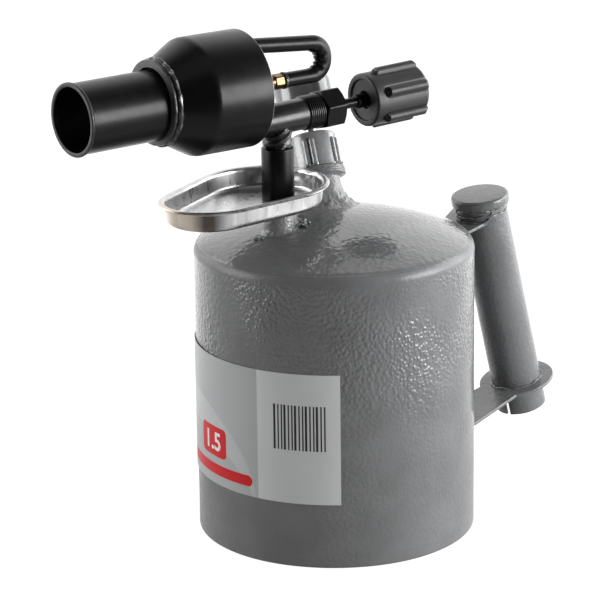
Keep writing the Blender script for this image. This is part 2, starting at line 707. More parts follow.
def makeNeck():
    threadMarks = ((0.4, 0.0), (0.6, 0.0), (1.0, 1.0))
    collarMarks = ((0.2, 0.0), (0.7, 0.0), (0.85, 1.0), (1.0, 1.0))
    threads = ridges(neck, "thread", "top", "collarEnd", neck["threads"], threadMarks)
    collar = ridges(neck, "collar", "collarEnd", "collarStart", neck["grooves"], collarMarks)
    bm = bmesh.new()
    turnOnLathe(bm, [
        *outlineOf(neck, "bore top, threadRoot top"), *threads,
        *outlineOf(neck, "collarRoot collarEnd"), *collar,
        *outlineOf(neck, "radius collarFoot, radius root, bore root"),
    ], pumpFrame)
    weldFillet(bm, pumpFrame, neck["radius"], neck["weld"], 7.7)
    finishPiece("fillerNeck", bm, "hammered_grey", "weldGrey")


def nearRibs(settings, angle):
    # the angle from each rib that stands close by
    turns = [settings["ribTurn"] + 360.0 * index / settings["ribs"] for index in range(settings["ribs"])]
    offs = [(angle - math.radians(turn) + math.pi) % math.tau - math.pi for turn in turns]
    return [off for off in offs if abs(off) <= 0.5]


cap = {
    "radius": 0.0109, "bottom": 0.0150, "top": 0.0311, "roof": 0.0023, "hole": 0.0035, "bore": 0.0098,
    "round": 0.0042, "ribs": 5, "ridgeRadius": 0.00125, "ridgeAside": 0.00155, "ribTurn": 5.0,
    "ribTop": 0.0034, "valley": 0.0006, "flange": 0.0008, "flangeHeight": 0.0008, "steps": 360,
}
pumpKnob = {
    "radius": 0.0130, "top": 0.0580, "topRound": 0.0026, "foot": 0.0410, "footRound": 0.0009, "stem": 0.0060,
    "stemRound": 0.0005, "stemFoot": 0.0366, "stemEdge": 0.0004, "rod": 0.0027, "rodEnd": 0.0436,
}


def makeCap():
    radius, ridgeRadius, bottom = cap["radius"], cap["ridgeRadius"], cap["bottom"]
    ribEnd, flangeTop = cap["top"] - cap["ribTop"], bottom + cap["flangeHeight"]

    def ribbed(reach, height, angle):
        if reach < cap["bore"] + 0.0002 or height > ribEnd or height < flangeTop:
            return reach
        best = reach
        fall = max(0.0, height - (ribEnd - ridgeRadius)) / ridgeRadius
        ridge = ridgeRadius * math.sqrt(max(0.0, 1.0 - fall * fall))
        for off in nearRibs(cap, angle):
            # each rib is a pair of ridges with a valley between them
            aside = abs(radius * math.sin(off)) - cap["ridgeAside"]
            if abs(aside) < ridge:
                best = max(best, reach + math.sqrt(ridge * ridge - aside * aside) - 0.25 * ridge)
            elif aside < 0:
                best = reach - cap["valley"] * min(1.0, 3.0 * (1.0 - fall))
        return best

    levels = evenly(ribEnd, bottom, 14)[1:]
    levels += [ribEnd - ridgeRadius * (1 - math.cos(turn)) for turn in evenly(0.0, math.pi / 2, 6)[1:-1]]
    levels = sorted((level for level in levels if level > flangeTop + 0.0003), reverse=True)
    bm = bmesh.new()
    turnOnLathe(bm, [
        *roundCorners([(cap["hole"], cap["top"]), (radius, cap["top"], cap["round"]), (radius, ribEnd)], 8),
        *[(radius, level) for level in levels], (radius, flangeTop + 0.0002),
        (radius + cap["flange"], flangeTop), (radius + cap["flange"], bottom), (cap["bore"], bottom),
        (cap["bore"], cap["top"] - cap["roof"]), (cap["hole"], cap["top"] - cap["roof"]),
    ], pumpFrame, cap["steps"], ribbed)
    finishPiece("pumpCap", bm, "silver_grey", "silverGrey", "cap", 50.0)

    turnPiece("pumpKnob", "silver_grey", "knobGrey", pumpFrame, outlineOf(
        pumpKnob, "axis top, radius top topRound, radius foot footRound, stem foot stemRound,"
        "stem stemFoot stemEdge, rod stemFoot, rod rodEnd, axis rodEnd"), 128, 8, body="plunger")
    print("neck, cap and pump knob made")


# Tray

# wide and narrow are the two rounds of its plan: (x, y, radius)
tray = {
    "wide": (-0.0365, 0.0022, 0.0294), "narrow": (-0.0690, -0.0060, 0.0224), "sheet": 0.0005,
    "height": 0.0097, "lipWidth": 0.0032, "lipDrop": 0.0009, "wallLean": 0.0006, "corner": 0.0022,
    "planPoints": 120, "floorSteps": 10, "hole": 0.0043, "crumple": 0.00125, "crumpleCentre": (-0.012, 0.012),
    "crumpleReach": 0.020, "dent": 0.00007,
}


def trayOutline(inset):
    wide, narrow = (Vector((tray[key][0] - bossX, tray[key][1])) for key in ("wide", "narrow"))
    wideRadius, narrowRadius, planPoints = tray["wide"][2], tray["narrow"][2], tray["planPoints"]
    between = narrow - wide
    heading = math.atan2(between.y, between.x)
    spread = math.acos((wideRadius - narrowRadius) / between.length)
    wideTurns = evenly(heading + spread, heading + math.tau - spread, planPoints - 1)
    narrowTurns = evenly(heading - spread, heading + spread, planPoints // 2 - 1)
    wideArc = [wide + polar(1.0, turn).to_2d() * (wideRadius - inset) for turn in wideTurns]
    narrowArc = [narrow + polar(1.0, turn).to_2d() * (narrowRadius - inset) for turn in narrowTurns]
    shares = evenly(0.0, 1.0, planPoints // 4)[1:-1]
    firstRun = [wideArc[-1].lerp(narrowArc[0], share) for share in shares]
    lastRun = [narrowArc[-1].lerp(wideArc[0], share) for share in shares]
    return wideArc + firstRun + narrowArc + lastRun


noise.seed_set(5)  # the same crumples in the tray each run


def makeTray():
    rim = tray["height"] - tray["sheet"]
    lip, drop, corner = tray["lipWidth"], tray["lipDrop"], tray["corner"]
    foot = lip + tray["wallLean"]
    # from the rolled lip down the wall and round the corner: (inset, height)
    section = [
        (0.0002, rim - drop - 0.0003), (0.0, rim - drop + 0.0001), (lip * 0.12, rim - 0.0003),
        (lip * 0.33, rim), (lip * 0.62, rim + 0.00002), (lip * 0.86, rim - 0.00035), (lip, rim - drop),
        *zip(evenly(lip, foot, 6)[1:], evenly(rim - drop, corner, 6)[1:]),
    ]
    for turn in evenly(0.0, math.pi / 2, 6)[1:]:
        section.append((foot + corner * (1 - math.cos(turn)), corner * (1 - math.sin(turn))))
    outlines = [(trayOutline(inset), height) for inset, height in section]
    base = trayOutline(section[-1][0])
    for share in evenly(0.0, 1.0, tray["floorSteps"])[1:]:
        outlines.append(([point.lerp(point.normalized() * tray["hole"], share) for point in base], 0.0))

    bm = bmesh.new()
    rings = []
    crumpleCentre = Vector(tray["crumpleCentre"]) - Vector((bossX, 0.0))
    for plan, height in outlines:
        ring = []
        for point in plan:
            place = Vector((point.x, point.y, height))
            near = max(0.0, 1.0 - (point - crumpleCentre).length / tray["crumpleReach"])
            lift = min(1.0, height / rim)
            shift = noise.noise_vector(place / 0.0052) * tray["crumple"] * near ** 0.6 * (0.25 + lift)
            shift += noise.noise_vector(place / 0.014) * tray["dent"] * (0.3 + lift)
            place += Vector((shift.x, shift.y, shift.z * (0.3 + 0.7 * lift)))
            ring.append(bm.verts.new(trayFrame @ place))
        rings.append(ring)
    bridgeRings(bm, rings, False)
    bmesh.ops.recalc_face_normals(bm, faces=bm.faces)
    floorPlace = trayFrame.translation - Vector((0.01, 0, 0))
    floorFace = min(bm.faces, key=lambda face: (face.calc_center_median() - floorPlace).length)
    if floorFace.normal.z < 0:
        bmesh.ops.reverse_faces(bm, faces=bm.faces)
    # the underside is the upper skin again, one sheet lower
    skin = {vertex: bm.verts.new(vertex.co - vertex.normal * tray["sheet"]) for vertex in list(bm.verts)}
    for face in list(bm.faces):
        bm.faces.new([skin[vertex] for vertex in reversed(face.verts)])
    for ring in (rings[0], rings[-1]):
        for vertex, following in zip(ring, ring[1:] + ring[:1]):
            bm.faces.new((vertex, skin[vertex], skin[following], following))
    finishPiece("dripTray", bm, "tinplate", "tinplate", sharpAngle=60.0)
    print("tray pressed")


# Riser and valve

riser = {
    "radius": 0.0071, "top": 0.1782, "foot": 0.1542, "threadBottom": 0.1472, "threadRadius": 0.0040,
    "bore": 0.0020, "spigotRadius": 0.0045, "spigotTop": 0.1858, "edge": 0.0009, "footEdge": 0.00045,
    "pinch": 0.00012,
}
braze = {
    "radius": 0.0062, "bore": 0.0048, "bottom": 0.1783, "height": 0.0098, "folds": 0.0009, "slant": 1.6,
    "endDrop": 0.0004, "steps": 128, "levels": 34,
}


def makeRiser():
    turnPiece("riserTube", "burner_black", "burnerBlack", bossFrame, outlineOf(
        riser, "spigotRadius spigotTop, spigotRadius top, radius top edge, radius foot footEdge,"
        "threadRadius foot, threadRadius threadBottom, bore threadBottom, bore spigotTop",
    ), reachAt=unevenReach(riser["pinch"], 1.5, 150, riser["radius"] - 0.0012))

    bm = bmesh.new()
    rings = []
    for share in evenly(0.0, 1.0, braze["levels"]):
        ring = []
        for angle in wholeTurn(braze["steps"]):
            place = polar(1.0, angle)
            rising = share * 5.2 - braze["slant"] * place.x
            fold = 0.55 * math.sin(rising * 3.4) + noise.noise(place * 1.4 + Vector((0, 0, rising)))
            reach = braze["radius"] + braze["folds"] * fold
            if share < 0.04 or share > 0.97:
                reach -= braze["endDrop"]
            height = braze["bottom"] + braze["height"] * share
            ring.append(bm.verts.new(bossFrame @ polar(reach, angle, height)))
        rings.append(ring)
    for height in (braze["bottom"] + braze["height"], braze["bottom"]):
        turns = wholeTurn(braze["steps"])
        rings.append([bm.verts.new(bossFrame @ polar(braze["bore"], angle, height)) for angle in turns])
    bridgeRings(bm, rings, True)
    finishPiece("brazeCollar", bm, "burner_black", "brazedBlack", sharpAngle=80.0)


valve = {
    "radius": 0.0069, "shoulderRadius": 0.0067, "front": -0.0244, "shoulder": 0.0128, "edge": 0.0006,
    "socketRadius": 0.0076, "socketRoot": 0.0072, "socketEnd": 0.0212, "socketBore": 0.0056, "boreEnd": 0.0080,
    "ridges": 8, "ridgeStop": 0.0131, "chamber": 0.0026, "chamberFront": -0.0010, "coneEnd": -0.0026,
    "seatRadius": 0.0010, "seatFront": -0.0060, "feedBore": 0.0020, "feedEnd": -0.0188, "pipeBore": 0.00365,
}


def makeValveBody():
    marks = ((0.35, 0.0), (0.6, 0.0), (1.0, 1.0))
    turnPiece("valveBody", "burner_black", "valveBlack", valveFrame, [
        *outlineOf(valve, "socketBore socketEnd, socketRoot socketEnd"),
        *ridges(valve, "socket", "socketEnd", "ridgeStop", valve["ridges"], marks),
        *outlineOf(
            valve, "shoulderRadius shoulder, radius shoulder edge, radius front edge, pipeBore front,"
            "pipeBore feedEnd, feedBore feedEnd, feedBore seatFront, seatRadius seatFront, seatRadius coneEnd,"
            "chamber chamberFront, chamber boreEnd, socketBore boreEnd"),
    ], 112, sharpAngle=30.0)


def hexLevels(settings, top, foot, steps):
    # both ends of the hexagon are trimmed to a cone
    flat, corner = settings["flats"] / 2 - settings["trim"], settings["flats"] / math.sqrt(3)
    cone = list(zip(evenly(flat, corner, steps), evenly(0.0, settings["chamfer"], steps)))
    upper = [(limit, top - fall, True) for limit, fall in cone]
    return upper + [(limit, foot + fall, True) for limit, fall in reversed(cone)]


def makeHexPiece(name, slot, finish, settings, levels, axis):
    # levels are (radius, height) where the piece is round and (limit, height, True) where it is a hexagon
    start, halfFlats = math.radians(settings["turn"]), settings["flats"] / 2
    corner = settings["flats"] / math.sqrt(3) - settings["edgeRound"] * 0.45
    # more columns close to each corner, where the reach changes quickest
    eased = [0.5 - 0.5 * math.cos(math.pi * share) for share in evenly(0.0, 1.0, 20)[:-1]]
    angles = [start + (side + share) * math.pi / 3 for side in range(6) for share in eased]
    bm = bmesh.new()
    rings = []
    for limit, height, *isHex in levels:
        ring = []
        for angle in angles:
            part = (angle - start + math.tau) % (math.pi / 3) - math.pi / 6
            reach = min(limit, halfFlats / math.cos(part), corner) if isHex else limit
            ring.append(bm.verts.new(axis @ polar(reach, angle, height)))
        rings.append(ring)
    bridgeRings(bm, rings, True)
    finishPiece(name, bm, slot, finish, sharpAngle=25.0)


gland = {
    "flats": 0.0160, "turn": 15.0, "start": 0.0215, "end": 0.0318, "chamfer": 0.00072, "trim": 0.0003,
    "bore": 0.00255, "spigotRadius": 0.0053, "spigotStart": 0.0133, "edgeRound": 0.0004,
}


def makeGland():
    makeHexPiece("glandNut", "burner_black", "burnerBlack", gland, [
        *hexLevels(gland, gland["end"], gland["start"], 8),
        *outlineOf(gland, "spigotRadius start, spigotRadius spigotStart, bore spigotStart, bore end"),
    ], valveFrame)


spindle = {
    "radius": 0.00225, "start": 0.0020, "hubRadius": 0.0031, "hubStart": 0.0418, "hubEdge": 0.0004,
    "end": 0.0662, "edge": 0.0003,
}


def makeSpindle():
    turnPiece("valveSpindle", "burner_black", "burnerBlack", valveFrame, outlineOf(
        spindle, "axis end, hubRadius end edge, hubRadius hubStart hubEdge, radius hubStart edge,"
        "radius start edge, axis start"), 64, body="valve_handle")


knob = {
    "radius": 0.01175, "front": 0.0462, "length": 0.0290, "rim": 0.0024, "recess": 0.0010, "frontRound": 0.0009,
    "edge": 0.0003, "rearChamfer": 0.0016, "rearDrop": 0.0018, "rearRound": 0.0012, "hubDepth": 0.0190,
    "ribs": 6, "ribRadius": 0.0022, "ribStart": 0.0042, "ribMargin": 0.0016, "ribTurn": 7.0, "hubBore": 0.0033,
    "wellRadius": 0.0040, "wellDepth": 0.0018, "shadowGroove": 0.00035, "shadowWidth": 0.0009,
    "scoopStart": 0.0004, "scoopLength": 0.0017, "scoopShare": 0.78, "scoopDepth": 0.0016, "rearSlope": 0.9,
    "rearTrim": 0.0004, "steps": 432,
}


def makeKnob():
    radius, ribRadius, front, edge = knob["radius"], knob["ribRadius"], knob["front"], knob["edge"]
    rear = front + knob["length"]
    ribLow, ribHigh = front + knob["ribStart"], rear - knob["ribMargin"]

    def ribbed(reach, height, angle):
        if reach < radius - 0.0013 or not ribLow < height < ribHigh + 1e-6:
            return reach
        best = reach
        fall = max(0.0, ribLow + ribRadius - height, height - (ribHigh - ribRadius * 0.5))
        rib = math.sqrt(max(0.0, ribRadius ** 2 - fall ** 2))
        for off in nearRibs(knob, angle):
            across = abs(radius * math.sin(off))
            if across < rib:
                crest = radius * math.cos(off) + math.sqrt(rib * rib - across * across)
                # a scoop at the front end of each rib
                ahead = (height - ribLow - knob["scoopStart"]) / knob["scoopLength"]
                aside = across / (ribRadius * knob["scoopShare"])
                if 0.0 < ahead < 1.0 and aside < 1.0:
                    ease = min(1.0, 5.0 * ahead, 5.0 * (1.0 - ahead))
                    crest -= knob["scoopDepth"] * min(1.0, 4.0 * (1.0 - aside)) * ease
                best = max(best, crest) if crest > reach else min(best, crest)
            elif rib > 0 and best == reach:
                best = reach - knob["shadowGroove"] * max(0.0, 1.0 - (across - rib) / knob["shadowWidth"])
        return min(best, radius + (rear - height) * knob["rearSlope"] - knob["rearTrim"])

    levels = evenly(ribHigh, ribLow, 60)
    levels += [ribLow + ribRadius * (1 - math.cos(turn)) for turn in evenly(0.0, math.pi / 2, 8)[:-1]]
    levels += [ribHigh - ribRadius * 0.5 * (1 - math.cos(turn)) for turn in evenly(0.0, math.pi / 2, 6)[:-1]]
    levels = sorted(set(round(level, 6) for level in levels), reverse=True)
    rearEdge = roundCorners([
        (0.0, rear), (radius - knob["rearChamfer"], rear, knob["rearRound"]),
        (radius, rear - knob["rearDrop"], knob["rearRound"]), (radius, ribLow),
    ], 6)[:-1]
    sides = [(radius, level) for level in levels if level < rearEdge[-1][1] - 1e-5]
    face = front + knob["recess"]
    well = face + knob["wellDepth"]
    bm = bmesh.new()
    turnOnLathe(bm, [*rearEdge, *sides, *roundCorners([
        (radius, ribLow - 0.0001), (radius, front, knob["frontRound"]), (radius - knob["rim"], front, edge),
        (radius - knob["rim"] - 0.0004, face, edge), (knob["wellRadius"], face, edge),
        (knob["wellRadius"] - 0.0003, well, edge), (knob["hubBore"], well),
        (knob["hubBore"], face + knob["hubDepth"]), (0.0, face + knob["hubDepth"]),
    ])], valveFrame, knob["steps"], ribbed)
    finishPiece("valveKnob", bm, "knob_plastic", "knobPlastic", "valve_handle", 42.0)
    print("riser, valve and knob made")


# Burner

bell = {
    "radius": 0.0254, "inner": 0.0244, "shoulder": 0.0276, "innerShoulder": 0.0273, "shoulderRound": 0.0060,
    "neckStart": 0.0412, "neckEnd": 0.0438, "neckRadius": 0.0181, "neckInner": 0.0171, "neckRound": 0.0007,
    "neckFillet": 0.0010, "web": 0.0422, "webHole": 0.01512, "rear": 0.0, "rearRound": 0.00048,
}


def makeBell():
    piece = turnPiece("burnerBell", "burner_black", "burnerBlack", burnerFrame, outlineOf(
        bell, "webHole neckEnd, neckRadius neckEnd neckRound, neckRadius neckStart neckFillet,"
        "radius shoulder shoulderRound, radius rear rearRound, inner rear rearRound,"
        "inner innerShoulder shoulderRound, neckInner web, webHole web"), 144, 10)
    wearFaces(piece, "wornEdge", burnerFrame, -1.0, bell["rearRound"] * 0.75)


junction = {
    "radius": 0.0183, "start": 0.0440, "end": 0.0453, "bore": 0.01512, "edge": 0.0004, "front": 0.0171,
    "frontEdge": 0.0002, "rough": 0.00022, "beadRadius": 0.0180, "beadAt": 0.0424, "beadSize": 0.0011,
    "steps": 160,
}


def makeJunction():
    rough = unevenReach(junction["rough"], 5, 900, junction["bore"] + 0.0003)
    piece = turnPiece("junctionRing", "burner_black", "brazedBlack", burnerFrame, outlineOf(
        junction, "bore end, front end frontEdge, radius end edge, radius start edge, bore start",
    ), junction["steps"], reachAt=rough, sharpAngle=60.0)
    wearFaces(piece, "scaledBlack", burnerFrame, junction["end"] - 0.0001)

    bm = bmesh.new()
    turns = wholeTurn(junction["steps"])
    route = [burnerFrame @ polar(junction["beadRadius"], angle, junction["beadAt"]) for angle in turns]

    def lumpy(index, outward):
        coarse, fine = noise.noise(route[index] / 0.0024), noise.noise(outward * 1.4 + route[index] / 0.0011)
        return junction["beadSize"] * (1.0 + 0.45 * coarse + 0.25 * fine)

    sweepRings(bm, route, lumpy, 12, True)
    finishPiece("junctionWeld", bm, "burner_black", "wornWeld", sharpAngle=60.0)


flame = {
    "radius": 0.0150, "inner": 0.0138, "mouth": 0.0415, "tail": -0.0082, "rimRadius": 0.0157,
    "rimBore": 0.0137, "rimRound": 0.0006, "rimStart": 0.0405, "rimFoot": 0.0397, "rimBack": 0.0401,
    "boreEnd": 0.0395, "fillet": 0.0005, "wornFrom": 0.0406,
}


def makeFlameTube():
    piece = turnPiece("flameTube", "burner_black", "burnerBlack", flameFrame, outlineOf(
        flame, "rimBore mouth rimRound, rimRadius mouth rimRound, rimRadius rimStart fillet,"
        "radius rimFoot rimRound, radius tail, inner tail, inner boreEnd rimRound, rimBore rimBack fillet"), 128)
    wearFaces(piece, "wornRim", flameFrame, flame["wornFrom"])
    print("burner made")


# Vaporiser pipe: round inside the bell, then out and back in a flattened U

vaporiser = {
    "radius": 0.00335, "loopX": -0.0670, "leadX": -0.0605, "topHeight": 0.2257, "legHeight": 0.2207,
    "bendX": -0.0044, "endX": -0.0250, "loopCorners": 5, "cornerRadius": 0.0064, "bendShare": 0.97,
    "stepAngle": 5.0, "stepLength": 0.0008, "axisHeight": 0.2068, "swell": 0.0011, "wrinkle": 0.00050,
    "sides": 40,
}


def roundedRoute(corners, radii, stepAngle):
    route = [corners[0]]
    for before, corner, after, radius in zip(corners, corners[1:], corners[2:], radii):
        inward = (corner - before).normalized()
        outward = (after - corner).normalized()
        bend = inward.angle(outward)
        side = (outward - inward * inward.dot(outward)).normalized()
        centre = corner - inward * radius * math.tan(bend / 2) + side * radius
        for turn in evenly(0.0, bend, max(2, round(math.degrees(bend) / stepAngle))):
            route.append(centre - side * radius * math.cos(turn) + inward * radius * math.sin(turn))
    return route + [corners[-1]]


def makeVaporiser():
    axisHeight, topHeight, legHeight = vaporiser["axisHeight"], vaporiser["topHeight"], vaporiser["legHeight"]
    loopX, leadX, bendX = vaporiser["loopX"], vaporiser["leadX"], vaporiser["bendX"]
    start = valveFrame @ Vector((0.0, 0.0, valve["feedEnd"] - 0.0003))
    corners = [start, Vector((leadX, 0.0, start.z))]
    turns = vaporiser["loopCorners"] + 1
    for index in range(1, turns):
        low, high, angle = axisHeight - start.z, topHeight - axisHeight, math.pi * index / turns
        radius = (low + (high - low) * index / turns) / math.cos(math.pi / 2 / turns)
        corners.append(Vector((loopX, radius * math.sin(angle), axisHeight - radius * math.cos(angle))))
    endX = vaporiser["endX"]
    for x, z in ((leadX, topHeight), (bendX, legHeight), (bendX, axisHeight), (endX, axisHeight)):
        corners.append(Vector((x, 0.0, z)))
    bendRadius = (legHeight - axisHeight) / 2 * vaporiser["bendShare"]
    radii = [vaporiser["cornerRadius"]] * (turns + 1) + [bendRadius] * 2
    coarse = roundedRoute(corners, radii, vaporiser["stepAngle"])
    route = [coarse[0]]
    for before, after in zip(coarse, coarse[1:]):
        length = (after - before).length
        if length > 1e-7:
            shares = evenly(0.0, 1.0, max(1, round(length / vaporiser["stepLength"])))[1:]
            route += [before.lerp(after, share) for share in shares]
    bendCentre = Vector((bendX - bendRadius, 0.0, (legHeight + axisHeight) / 2))

    def wrinkled(index, outward):
        # the inside of the outer bend is folded
        place = route[index]
        if place.x < bendX - bendRadius * 1.5:
            return vaporiser["radius"]
        toCentre = bendCentre - place
        inBend = max(0.0, min(1.0, (place.x - bendCentre.x) / bendRadius + 0.30)) ** 0.8
        inside = max(0.0, outward.dot(toCentre.normalized())) ** 2
        around = math.atan2(place.z - bendCentre.z, place.x - bendCentre.x)
        ripple = math.sin(around * 9.0 + 0.6) + 0.6 * noise.noise(place / 0.0016 + Vector((4, 0, 0)))
        return vaporiser["radius"] + (vaporiser["swell"] + vaporiser["wrinkle"] * ripple) * inside * inBend

    bm = bmesh.new()
    sweepRings(bm, route, wrinkled, vaporiser["sides"])
    finishPiece("vaporiserTube", bm, "burner_black", "burnerBlack", sharpAngle=60.0)


jet = {
    "flats": 0.0061, "turn": 15.0, "start": -0.0210, "hexEnd": -0.0168, "chamfer": 0.0003, "trim": 0.0001,
    "neckRadius": 0.0026, "neckEnd": -0.0153, "tip": -0.0138, "tipRadius": 0.0018, "bore": 0.0004,
    "edgeRound": 0.0003,
}
union = {"radius": 0.0037, "back": -0.0229, "backEdge": 0.0002, "front": -0.0213, "edge": 0.0004}


def makeJet():
    makeHexPiece("jet", "brass", "brass", jet, [
        *outlineOf(jet, "bore tip, tipRadius tip, neckRadius neckEnd, neckRadius hexEnd"),
        *hexLevels(jet, jet["hexEnd"], jet["start"], 5), *outlineOf(jet, "bore start"),
    ], burnerFrame)
    turnPiece("jetUnion", "burner_black", "brazedBlack", burnerFrame, outlineOf(
        union, "axis front, radius front edge, radius back backEdge, axis back"), 64)
    print("vaporiser and jet made")


# Handle

# welds under the cap are (level, size, seed)
handle = {
    "radius": 0.0115, "wall": 0.0010, "length": 0.1046, "capTilt": 6.0, "slitLength": 0.0085,
    "slitColumns": (65, 68), "capRadius": 0.0132, "capTop": 0.0042, "capRound": 0.0013, "capFoot": 0.0,
    "capEdge": 0.0003, "spigotRadius": 0.0094, "spigotEnd": -0.0055, "wobble": 0.00008,
    "welds": ((-0.0008, 0.0009, 1.3), (-0.0034, 0.0006, 4.1), (-0.0062, 0.0005, 7.9)),
}
bracket = {
    "sheet": 0.0016, "reach": 0.056, "lowHeight": 0.0127, "ringRadius": 0.0174, "farEdge": 0.0084,
    "rootEdge": 0.0198, "tipAngle": 230.0, "highHeight": 0.0985, "nearEdge": 0.0100, "farRoot": 0.0125,
    "farTip": 0.0170, "flare": 0.0130, "end": 0.0020, "edge": 0.0004, "weld": 0.0008, "curlFrom": 234.0,
    "curlSpan": 24.0, "curlRise": 0.0042, "curlSteps": 14,
}


def weldBead(bm, axis, radius, level, size, seed):
    # an uneven ring of weld that wanders a little up and down
    route = []
    for angle in wholeTurn(120):
        outward = polar(1.0, angle)
        drift = size * 1.6 * noise.noise(outward * 2.6 + Vector((seed, 0, 0)))
        route.append(axis @ (outward * radius + Vector((0, 0, level + drift))))
    sweepRings(bm, route, lambda index, outward: size * (
        0.8 + 0.7 * noise.noise(route[index] / 0.0022 + Vector((0, seed, 0)))), 10, True)


def makeHandle():
    # the slit in the tube's foot is cut out between two columns of the wall
    inner, slit = handle["radius"] - handle["wall"], handle["slitLength"]
    levels = evenly(handle["length"], slit, 28) + [slit / 2, 0.0]
    bm = bmesh.new()
    outline = [(handle["radius"], level) for level in levels] + [(inner, level) for level in reversed(levels)]
    rings = turnOnLathe(bm, outline, Matrix(), 120, unevenReach(handle["wobble"], 1.6, 60))
    outside, inside = rings[:31], rings[:30:-1]
    first, last = handle["slitColumns"]
    walls = [(ring[level], ring[level + 1]) for ring in (outside, inside) for level in (28, 29)]
    gone = set()
    for upper, lower in (*walls, (outside[30], inside[30])):
        for column in range(first, last):
            gone |= set(upper[column].link_faces) & set(lower[column + 1].link_faces)
    bmesh.ops.delete(bm, geom=list(gone), context="FACES")
    for column in (first, last):
        for level in (28, 29):
            sides = (outside[level], inside[level], inside[level + 1], outside[level + 1])
            bm.faces.new([side[column] for side in sides])
    for column in range(first, last):
        roof = (outside[28][column], outside[28][column + 1], inside[28][column + 1], inside[28][column])
        bm.faces.new(roof)
    # the tube's top is trimmed square to the tilted cap
    slope = math.tan(math.radians(handle["capTilt"]))
    for vertex in bm.verts:
        share = max(0.0, vertex.co.z / handle["length"])
        vertex.co.z += -slope * vertex.co.x * share ** 6 - 0.0003 * share
        vertex.co = handleFrame @ vertex.co
    for level, size, seed in handle["welds"]:
        weldBead(bm, handleCapFrame, handle["radius"] + size * 0.2, level, size, seed)
    finishPiece("handleTube", bm, "hammered_grey", "handleGrey", sharpAngle=50.0)

    turnPiece("handleCap", "hammered_grey", "handleGrey", handleCapFrame, outlineOf(
        handle, "axis capTop, capRadius capTop capRound, capRadius capFoot capEdge, spigotRadius capFoot,"
        "spigotRadius spigotEnd, axis spigotEnd"), 128, 7)


def plateMesh(outline, thickness, axis):
    curve = bpy.data.curves.new("plate", "CURVE")
    curve.dimensions = "2D"
    curve.fill_mode = "BOTH"
    curve.extrude = thickness / 2 - bracket["edge"]
    curve.bevel_depth = bracket["edge"]
    curve.offset = -bracket["edge"]
    curve.bevel_resolution = 3
    spline = curve.splines.new("POLY")
    spline.points.add(len(outline) - 1)
    for point, (x, y) in zip(spline.points, outline):
        point.co = (x, y, 0.0, 1.0)
    spline.use_cyclic_u = True
    bm = meshOfCurve(curve, 1e-6)
    bm.transform(axis)
    return bm


def rodMesh(radius, top, foot, axis, steps):
    bm = bmesh.new()
    turnOnLathe(bm, [(0.0, top), (radius, top), (radius, foot), (0.0, foot)], axis, steps)
    return bm


def cutMesh(bm, cutters):
    bmesh.ops.recalc_face_normals(bm, faces=bm.faces)
    body = linkNew("blank", meshFrom("blank", bm))
    for cutter in cutters:
        bmesh.ops.recalc_face_normals(cutter, faces=cutter.faces)
        tool = linkNew("cutter", meshFrom("cutter", cutter))
        modifier = body.modifiers.new("cut", "BOOLEAN")
        modifier.operation = "DIFFERENCE"
        modifier.solver = "EXACT"
        modifier.object = tool
        body.data = evaluatedMesh(body)
        body.modifiers.clear()
        bpy.data.objects.remove(tool, do_unlink=True)
    bm = bmesh.new()
    bm.from_mesh(body.data)
    bpy.data.objects.remove(body, do_unlink=True)
    return bm


def curlWeld(bm, level):
    # the weld that curls up the tube from the near edge of the upper bracket
    weld, steps = bracket["weld"], bracket["curlSteps"]
    route = []
    for share in evenly(0.0, 1.0, steps):
        turn = math.radians(bracket["curlFrom"] + bracket["curlSpan"] * share)
        reach = handle["radius"] + weld * 0.3
        route.append(handleFrame @ polar(reach, turn, level + bracket["curlRise"] * share ** 2))
    sweepRings(bm, route, lambda index, outward: weld * math.sqrt(max(0.05, 1.0 - (index / steps) ** 2)), 10)


def makeBrackets():
    reach, end, farEdge = bracket["reach"], bracket["end"], bracket["farEdge"]
    ringRadius, farRoot, nearEdge = bracket["ringRadius"], bracket["farRoot"], bracket["nearEdge"]
    first, last = bracket["tipAngle"] - 360.0, 180.0 - math.degrees(math.asin(farEdge / ringRadius))
    lowOutline = arcPoints(0.0, 0.0, ringRadius, first, last, 72)
    lowOutline += [(-reach, farEdge), (-reach, -bracket["rootEdge"])]
    highOutline = [
        (-reach, -nearEdge), (-end, -nearEdge), (end, 0.0), (end, bracket["farTip"]),
        (-end * 2, bracket["farTip"]), (-bracket["flare"], farRoot), (-reach, farRoot),
    ]
    for name, outline, height in (
        ("lowerBracket", lowOutline, bracket["lowHeight"]),
        ("upperBracket", highOutline, bracket["highHeight"]),
    ):
        plate = plateMesh(outline, bracket["sheet"], handleFrame @ Matrix.Translation((0.0, 0.0, height)))
        sleeve = rodMesh(handle["radius"] + 0.00012, 0.12, -0.01, handleFrame, 128)
        wall = rodMesh(tank["radius"] + 0.00015, 0.144, -0.004, Matrix(), tank["steps"])
        bm = cutMesh(plate, [sleeve, wall])
        level = height + bracket["sheet"] / 2
        if name == "lowerBracket":
            weldBead(bm, handleFrame, handle["radius"] + bracket["weld"] * 0.4, level, bracket["weld"], 5.2)
        else:
            curlWeld(bm, level)
        finishPiece(name, bm, "hammered_grey", "bracketGrey", sharpAngle=35.0)
    print("handle made")


for make in (
    makeTank, makeLabel, makeLabelNumber, makeBoss, makeNeck, makeCap, makeTray, makeRiser, makeValveBody,
    makeGland, makeSpindle, makeKnob, makeBell, makeJunction, makeFlameTube, makeVaporiser, makeJet, makeHandle,
    makeBrackets,
):
    make()

